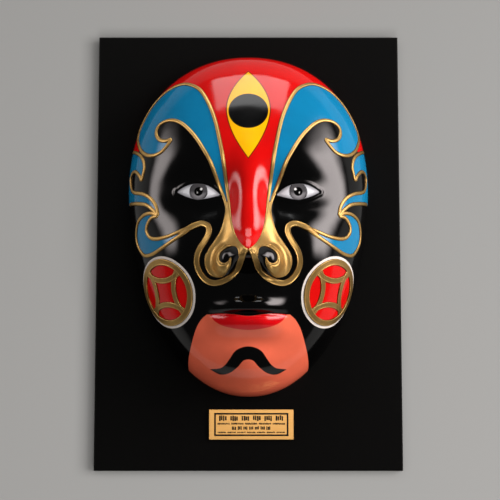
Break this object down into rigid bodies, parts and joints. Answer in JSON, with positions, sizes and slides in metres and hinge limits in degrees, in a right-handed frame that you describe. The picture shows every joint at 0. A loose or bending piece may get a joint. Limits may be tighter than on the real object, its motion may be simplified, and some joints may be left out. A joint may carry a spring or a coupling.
{
  "type": "chinese opera mask",
  "caption": "Glossy moulded opera mask with raised gold lines, fixed on a flat rectangular display board with a small brass plaque under its chin.",
  "frame": {"origin": "centre of the board's back face", "axes": "+X to the right as seen from the front, +Y towards the crown, +Z out of the board's front"},
  "size_m": [0.21, 0.303, 0.0929],
  "materials": {
    "board": "matte",
    "lacquer": "gloss",
    "plaque": "satin"
  },
  "bodies": {
    "root": {"board": "board", "mask": "lacquer", "plaque": "plaque"}
  },
  "joints": []
}
